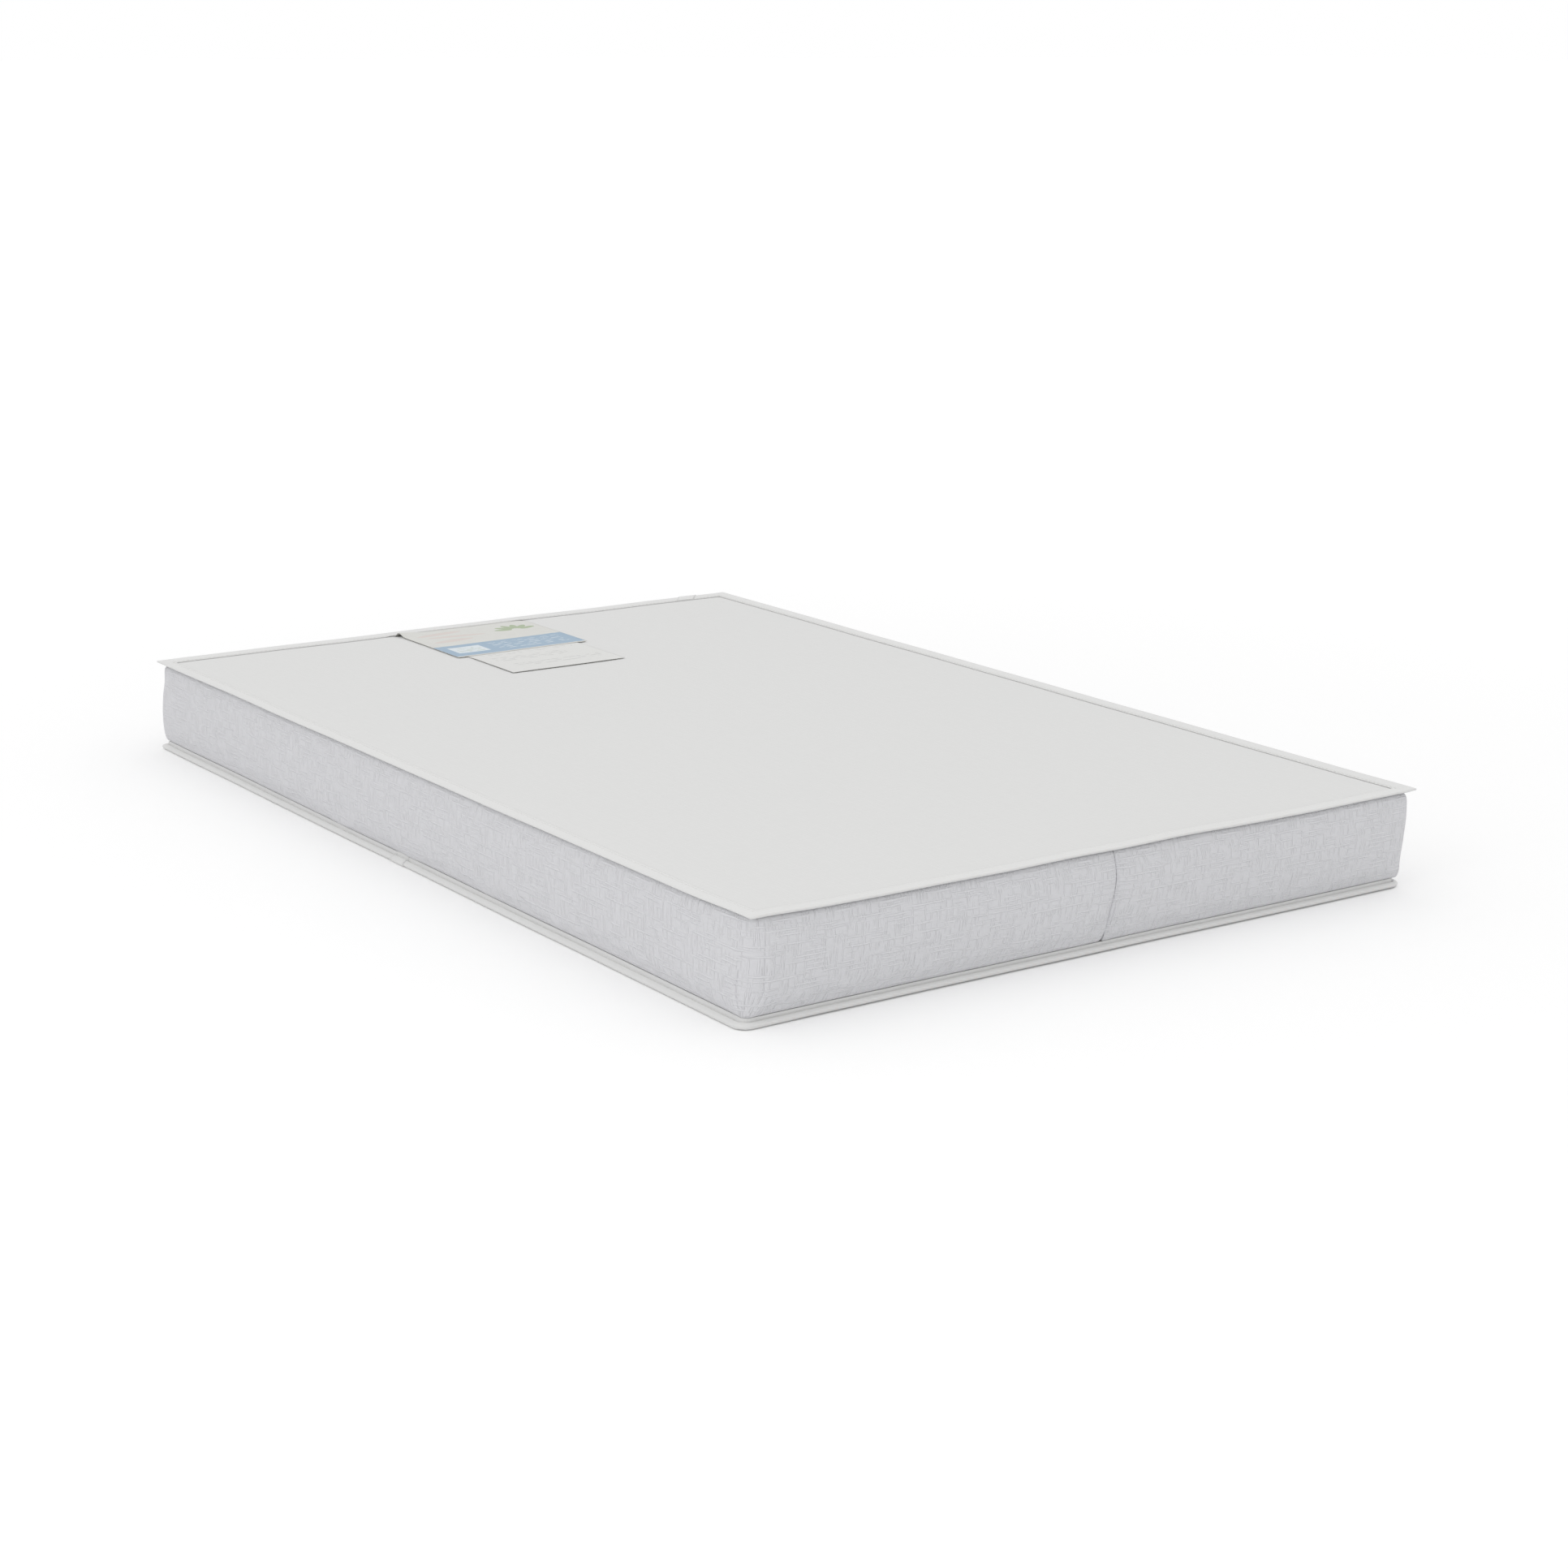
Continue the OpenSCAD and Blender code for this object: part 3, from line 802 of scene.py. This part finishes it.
class MATTRESS_OT_core(bpy.types.Operator):
    """Makes the two foam layers"""
    bl_idname = "mattress.core"
    bl_label = "Foam core"

    def execute(self, context):
        plan = cover_plan()
        colours = context.scene.mattress_colours
        split_low, split_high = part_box("support_foam")[1].z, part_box("memory_foam")[0].z
        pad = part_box("top_fibre_pad")[1].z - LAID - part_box("memory_foam")[1].z
        skin = plan.cloth + pad + 2 * LAID

        def memory_z(x, y, t):
            high = panel_height(plan, True, x, y) - skin
            return split_high + (high - split_high) * t

        def support_z(x, y, t):
            low = panel_height(plan, False, x, y) + skin
            return low + (split_low - low) * t

        layers = (("memory_foam", memory_z, foam("Viscoelastic foam", colours.memory, 0.9 * MM)),
                  ("support_foam", support_z, foam("Support foam", colours.support, 1.6 * MM)))
        for name, height, material in layers:
            piece = self.block(plan, name + "_layer", height)
            dress(piece, material, name)
            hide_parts(name)
            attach(piece, "mattress")
        return {"FINISHED"}

    def block(self, plan, name, height):
        bm = bmesh.new()
        columns, rows = 120, 80
        bmesh.ops.create_grid(bm, x_segments=columns, y_segments=rows, size=0.5)
        for v in bm.verts:
            x = spaced(plan, round((v.co.x + 0.5) * columns), columns, HALF_L, 0)
            y = spaced(plan, round((v.co.y + 0.5) * rows), rows, HALF_W, 0)
            v.co = (*round_corner(x, y, -CORE_CORNER), 0)
        raised = bmesh.ops.extrude_face_region(bm, geom=bm.faces[:])["geom"]
        upright = {v for v in raised if isinstance(v, bmesh.types.BMVert)}
        for v in upright:
            v.co.z = 1
        walls = [e for e in bm.edges if e.verts[0].co.z != e.verts[1].co.z]
        bmesh.ops.subdivide_edges(bm, edges=walls, cuts=5, use_grid_fill=True)
        for v in bm.verts:
            v.co = settle((v.co.x, v.co.y, height(v.co.x, v.co.y, v.co.z)), plan)
        bmesh.ops.recalc_face_normals(bm, faces=bm.faces)
        return finished(name, bm)


class MATTRESS_OT_wadding(bpy.types.Operator):
    """Makes the fibre pads above and below the core and the wadding behind the border"""
    bl_idname = "mattress.wadding"
    bl_label = "Wadding"

    def execute(self, context):
        plan = cover_plan()
        material = fibre("Bonded polyester fibre", context.scene.mattress_colours.fibre)
        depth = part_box("top_fibre_pad")[1].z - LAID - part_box("memory_foam")[1].z
        pads = [(name, self.pad(plan, name + "_mat", upper, depth))
                for name, upper in (("top_fibre_pad", True), ("bottom_fibre_pad", False))]
        strips = [(name, self.strip(plan, name + "_mat", side))
                  for name, side in (("border_wadding_front", -1), ("border_wadding_back", 1))]
        for name, piece in pads + strips:
            dress(piece, material, "fibre")
            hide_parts(name)
            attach(piece, "mattress")
        return {"FINISHED"}

    def pad(self, plan, name, upper, depth):
        columns, rows = 120, 80
        under = (plan.cloth + LAID) * (-1 if upper else 1)

        def place(i, j):
            x = spaced(plan, i, columns, HALF_L, -LAID)
            y = spaced(plan, j, rows, HALF_W, -LAID)
            z = panel_height(plan, upper, x, y) + under
            return settle((*round_corner(x, y, -CORE_CORNER), z), plan), (x, y)

        return thicken(spread_grid(name, columns, rows, place, flip=not upper), depth)

    def strip(self, plan, name, side):
        rows = 48
        section = wadding_section(plan, rows)
        whole = sum(strip_runs(plan, side)[1])
        short, spacing = 1.2 * MM, 8 * MM
        count = round(whole / spacing)

        def place(i, j):
            s = short + (whole - 2 * short) * i / count
            x, y, z = border_spot(plan, side, s, *section[j])
            return settle((x, y, z), plan), (s, z)

        return spread_grid(name, count, rows, place, merge=True, fill=True)


class MATTRESS_OT_panels(bpy.types.Operator):
    """Makes the top and bottom panels"""
    bl_idname = "mattress.panels"
    bl_label = "Panels"

    def execute(self, context):
        plan = cover_plan()
        colours = context.scene.mattress_colours
        cloth = ticking("Woven ticking, panels", colours.ticking, srgb("E3E3E2"), 0.14)
        for name, upper in (("top_panel", True), ("bottom_panel", False)):
            piece = self.panel(plan, name + "_cloth", upper)
            thicken(piece, plan.cloth)
            dress(piece, cloth, "panel_fabric")
            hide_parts(name)
            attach(piece, "mattress")
        return {"FINISHED"}

    def panel(self, plan, name, upper):
        edge = plan.leg - 2.4 * MM
        columns, rows = 240, 160

        def place(i, j):
            x, y = spaced(plan, i, columns, HALF_L, edge), spaced(plan, j, rows, HALF_W, edge)
            z = panel_height(plan, upper, x, y)
            x, y = round_corner(x, y, corner_inner(upper, x) - 2 * MM)
            return settle((x, y, z), plan), (x, y)

        return spread_grid(name, columns, rows, place, flip=not upper)


class MATTRESS_OT_border(bpy.types.Operator):
    """Makes the two padded border strips"""
    bl_idname = "mattress.border"
    bl_label = "Border"

    def execute(self, context):
        plan = cover_plan()
        colours = context.scene.mattress_colours
        cloth = ticking("Woven ticking, border", colours.border, srgb("E3E3E6"), 1.0)
        for name, side in (("border_strip_front", -1), ("border_strip_back", 1)):
            piece = self.strip(plan, name + "_cloth", side)
            self.swell(piece)
            thicken(piece, plan.cloth)
            subdivide(piece)
            dress(piece, cloth, "border_fabric")
            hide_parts(name)
            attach(piece, "mattress")
        return {"FINISHED"}

    def strip(self, plan, name, side):
        rows = 36
        section = border_section(plan, rows)
        runs = strip_runs(plan, side)[1]
        whole = sum(runs)
        self.length = whole + 6 * MM
        self.width = sum(math.dist(a, b) for a, b in zip(section, section[1:]))
        arcs = [sum(runs[:k]) + runs[k] / 2 for k in (1, 3)]
        # Columns are close at the seams and in the corners, and wide along the straight runs
        from_seam = (-3.0, -1.4, 0.0, 0.5, 1.1, 1.9, 3.0, 4.6, 7.0)
        stops = [a * MM for a in from_seam]
        while stops[-1] < whole - 11 * MM:
            to_arc = min(abs(stops[-1] - arc) for arc in arcs)
            stops.append(stops[-1] + (1.3 + 4.7 * ramp((to_arc - 13 * MM) / (10 * MM))) * MM)
        stops += [whole - a * MM for a in reversed(from_seam)]

        def place(i, j):
            x, y, z = border_spot(plan, side, stops[i], *section[j])
            return settle((x, y, z), plan), (stops[i], z)

        self.columns, self.rows = len(stops), rows + 1
        return spread_grid(name, len(stops) - 1, rows, place, flip=side < 0)

    def swell(self, piece):
        """Lets the sewn strip swell over its wadding by cloth simulation, held at its seams. No
        point moves past the cap or sinks into the wadding, and the result is applied."""
        cap, sewn_rows, sewn_columns, frames = 1.8 * MM, 7, 6, 20
        held = [j * self.columns + i for j in range(self.rows) for i in range(self.columns)
                if not (sewn_rows <= j < self.rows - sewn_rows
                        and sewn_columns <= i < self.columns - sewn_columns)]
        piece.vertex_groups.new(name="sewn").add(held, 1.0, "REPLACE")
        cloth = piece.modifiers.new("Cloth", "CLOTH")
        cloth.settings.vertex_group_mass = "sewn"
        cloth.settings.use_pressure = True
        cloth.settings.uniform_pressure_force = 4.0
        cloth.settings.effector_weights.gravity = 0.0
        cloth.settings.shrink_min = -0.012
        cloth.settings.quality = 5
        cloth.collision_settings.use_collision = False
        cloth.point_cache.frame_start, cloth.point_cache.frame_end = 1, frames
        scene = bpy.context.scene
        for frame_number in range(1, frames + 1):
            scene.frame_set(frame_number)
        settled = piece.evaluated_get(bpy.context.evaluated_depsgraph_get()).data
        for vertex, moved in zip(piece.data.vertices, settled.vertices):
            way = moved.co - vertex.co
            way -= vertex.normal * min(0.0, way.dot(vertex.normal))
            vertex.co += way * min(1.0, cap / max(way.length, 1e-9))
        piece.modifiers.remove(cloth)
        scene.frame_set(1)


class MATTRESS_OT_bindings(bpy.types.Operator):
    """Makes the two folded binding tapes, their laps and their stitches"""
    bl_idname = "mattress.bindings"
    bl_label = "Bindings"

    def execute(self, context):
        plan = cover_plan()
        colours = context.scene.mattress_colours
        tape = twill("Polyester binding tape", colours.tape)
        thread, _, _ = new_material("Polyester thread", colours.thread, 0.5)
        # Each lap lies on one side of the mattress, at a share of the way from its middle
        laps = {"top_binding": (2, -262 * MM / HALF_W), "bottom_binding": (3, -16.5 * MM / HALF_L)}
        lap_rise = 0.62 * MM
        for name, upper in (("top_binding", True), ("bottom_binding", False)):
            piece = self.tape(plan, name + "_tape", upper, self.round_stops())
            lap = self.tape(plan, name + "_lap", upper, self.lap_stops(*laps[name]), lap_rise)
            for sheet in (piece, lap):
                thicken(sheet, plan.tape)
                dress(sheet, tape, "binding_tape")
                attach(sheet, "mattress")
            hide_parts(name)
            seam = self.stitches(plan, name + "_stitches", upper)
            dress(seam, thread, "binding_tape")
            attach(seam, "mattress")
        return {"FINISHED"}

    def round_stops(self):
        """Where the tape's columns lie, as (side, t) all the way round, closest at the mitres."""
        stops = [(0, -1.0)]
        for side in range(4):
            run = half_run(side)
            near = [d * MM / run for d in (0, 0.7, 1.4, 2.2, 3.2, 4.6, 6.6, 9.5, 13)]
            spacing = 6 * MM
            count = round(2 * (run - 13 * MM) / spacing)
            inner = 1 - near[-1]
            even = [inner * (2 * i / count - 1) for i in range(1, count)]
            line = [-1 + d for d in near[1:]] + even + [1 - d for d in reversed(near)]
            stops += [(side, t) for t in line]
        return stops

    def lap_stops(self, side, middle):
        """Where a lap's columns lie on its side, about its middle."""
        spacing, each_way = 2 * MM / half_run(side), 5
        return [(side, middle + i * spacing) for i in range(-each_way, each_way + 1)]

    def tape(self, plan, name, upper, stops, raised=0.0):
        section = tape_section(plan, upper, raised)
        run_length, walked, last = [], 0.0, None
        for side, t in stops:
            spot = binding_spot(plan, upper, side, t, 0, 0)
            walked += (spot - last).length if last else 0.0
            run_length.append(walked)
            last = spot

        def place(i, j):
            side, t = stops[i]
            s, h = section[j]
            if j < FOLDED:
                h -= lip_drop(plan, upper, side, t, s)
            return binding_spot(plan, upper, side, t, s, h), (run_length[i], j * 0.9 * MM)

        return spread_grid(name, len(stops) - 1, len(section) - 1, place, merge=True,
                           flip=upper)

    def stitches(self, plan, name, upper):
        """Both lockstitch rows of a binding, made a few at a time because one big mesh is slow."""
        seam, few = bmesh.new(), bmesh.new()
        batch = bpy.data.meshes.new("batch")
        for t, reach, side, s, h in self.stitch_places(plan, upper):
            a, b = (binding_spot(plan, upper, side, t + k * reach, s, h) for k in (-1, 1))
            along = b - a
            radius = plan.thread / 2
            place = Matrix.LocRotScale((a + b) / 2, along.to_track_quat("Z", "Y"),
                                       Vector((1, 1, along.length / 2 / radius)))
            bmesh.ops.create_uvsphere(few, u_segments=6, v_segments=4, radius=radius,
                                      matrix=place)
            if len(few.verts) > 500:
                few.to_mesh(batch)
                seam.from_mesh(batch)
                few.clear()
        few.to_mesh(batch)
        seam.from_mesh(batch)
        few.free()
        bpy.data.meshes.remove(batch)
        return finished(name, seam)

    def stitch_places(self, plan, upper):
        """Each stitch's middle and half length along its side, and where its row runs."""
        shown = 0.68    # share of a stitch's length in which its thread shows
        for panel_side in (True, False):
            edge = plan.leg_start if upper else plan.low_start
            s = (0.2 * MM if panel_side else edge) + plan.stitch_in
            depth = plan.groove if panel_side else border_groove(plan, upper)
            h = (plan.fold_r - depth + 0.12 * MM) * (1 if panel_side else -1)
            for side in range(4):
                count = round(2 * half_run(side) / plan.stitch)
                for i in range(count):
                    t = 2 * (i + 0.5) / count - 1
                    drop = lip_drop(plan, upper, side, t, s) if panel_side else 0
                    yield t, shown / count, side, s, h - drop


class MATTRESS_OT_labels(bpy.types.Operator):
    """Makes the law tag and the printed label, both sewn in under the upper binding"""
    bl_idname = "mattress.labels"
    bl_label = "Labels"

    def execute(self, context):
        plan = cover_plan()
        colours = context.scene.mattress_colours
        tag_low, tag_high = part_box("law_tag_flap")
        low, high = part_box("product_label_flap")
        self.tag = (tag_high.x, tag_low.y, tag_high.y)
        self.label = (high.x, low.y, high.y)
        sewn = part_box("product_label_margin")[0].x
        paper = law_paper("Nonwoven law tag", colours.tag)
        print_cloth = label_paper("Printed label cloth", colours)
        law_fold = tag_low.x
        self.split = law_fold + 2 * MM

        tag = self.sheet(plan, "law_tag_sheet", sewn, tag_high.x, tag_low.y, tag_high.y,
                         self.tag_lift)
        margin = self.sheet(plan, "product_label_sewn_edge", sewn, self.split, low.y, high.y,
                            self.label_lift)
        flap = self.sheet(plan, "product_label_sheet", self.split, high.x, low.y, high.y,
                          self.label_lift)
        dress(tag, paper, "tag_paper")
        dress(margin, print_cloth, "label_paper")
        dress(flap, print_cloth, "label_paper")
        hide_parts("law_tag_margin", "law_tag_flap")
        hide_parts("product_label_margin")
        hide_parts("product_label_flap")
        for sewn_piece in (tag, margin):
            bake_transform(sewn_piece)
        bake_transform(flap)
        return {"FINISHED"}

    def sheet(self, plan, name, x_low, x_high, y_low, y_high, lift):
        """A label as a fine grid laid over the panel."""
        spacing, thickness = 2 * MM, 0.3 * MM
        columns = max(6, round((x_high - x_low) / spacing))
        rows = round((y_high - y_low) / spacing)

        def place(i, j):
            x = x_low + (x_high - x_low) * i / columns
            y = y_low + (y_high - y_low) * j / rows
            uv = (x - x_low, y - (y_low + y_high) / 2)
            z = panel_height(plan, True, x, y) + lift(x, y)
            return settle((x, y, z), plan), uv

        return spread_grid(name, columns, rows, place, backing=thickness)

    def tag_lift(self, x, y):
        """Height of the law tag's upper face over the panel: near flat, its free edges curling."""
        far, low, high = self.tag
        gap, curl_height, wave_height = 0.45 * MM, 0.55 * MM, 0.2 * MM
        free = ramp((x - self.label[0]) / (15 * MM))
        edge = min(far - x, y - low, high - y)
        curl = curl_height * bump(max(edge, 0), 11 * MM) * free
        wave = wave_height * (1 + drift(x, y, 45 * MM, 31.5)) * ramp((x + HALF_L) / (40 * MM))
        return gap + wave + curl

    def label_lift(self, x, y):
        """Height of the printed label's upper face over the panel: it lies on the law tag, its
        side edges curl, and it stands up in a small tent at one end of its seam."""
        far, low, high = self.label
        gap, curl_height, tent_height = 0.42 * MM, 0.5 * MM, 3.4 * MM
        over = max(self.tag[1] - y, y - self.tag[2], 0)
        under = self.tag_lift(min(x, far), min(max(y, self.tag[1]), self.tag[2]))
        under *= 1 - 0.5 * ramp(over / (4 * MM))
        edge = min(y - low, high - y)
        loose = ramp((x + HALF_L) / (20 * MM))
        curl = curl_height * bump(max(edge, 0), 11 * MM) * loose
        from_top = x - self.split - 4 * MM
        tent = tent_height * bump(from_top, (5 if from_top < 0 else 8) * MM)
        tent *= 1 - ramp((y - low) / (40 * MM))
        return gap + under + curl + tent


class MATTRESS_PT_sidebar(bpy.types.Panel):
    """Lists the mattress's operators, sizes and colours"""
    bl_idname = "MATTRESS_PT_sidebar"
    bl_label = "Mattress"
    bl_space_type = "VIEW_3D"
    bl_region_type = "UI"
    bl_category = "Mattress"

    def draw(self, context):
        for operator in OPERATORS:
            self.layout.operator(operator.bl_idname)
        for group in (context.scene.mattress_sizes, context.scene.mattress_colours):
            box = self.layout.box()
            for name in group.__annotations__:
                box.prop(group, name)


OPERATORS = (MATTRESS_OT_stage, MATTRESS_OT_core, MATTRESS_OT_wadding, MATTRESS_OT_panels,
             MATTRESS_OT_border, MATTRESS_OT_bindings, MATTRESS_OT_labels)
CLASSES = (MattressSizes, MattressColours, *OPERATORS, MATTRESS_PT_sidebar)


def register():
    for cls in CLASSES:
        bpy.utils.register_class(cls)
    bpy.types.Scene.mattress_sizes = PointerProperty(type=MattressSizes)
    bpy.types.Scene.mattress_colours = PointerProperty(type=MattressColours)


def unregister():
    del bpy.types.Scene.mattress_colours
    del bpy.types.Scene.mattress_sizes
    for cls in reversed(CLASSES):
        bpy.utils.unregister_class(cls)


def main():
    register()
    bpy.ops.mattress.stage()
    bpy.ops.mattress.core()
    bpy.ops.mattress.wadding()
    bpy.ops.mattress.panels()
    bpy.ops.mattress.border()
    bpy.ops.mattress.bindings()
    bpy.ops.mattress.labels()
    bounds = {"cad": CAD_BOUNDS, "visual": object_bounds()}
    {key: [list(corner) for corner in box] for key, box in bounds.items()}


if __name__ == "__main__":
    main()
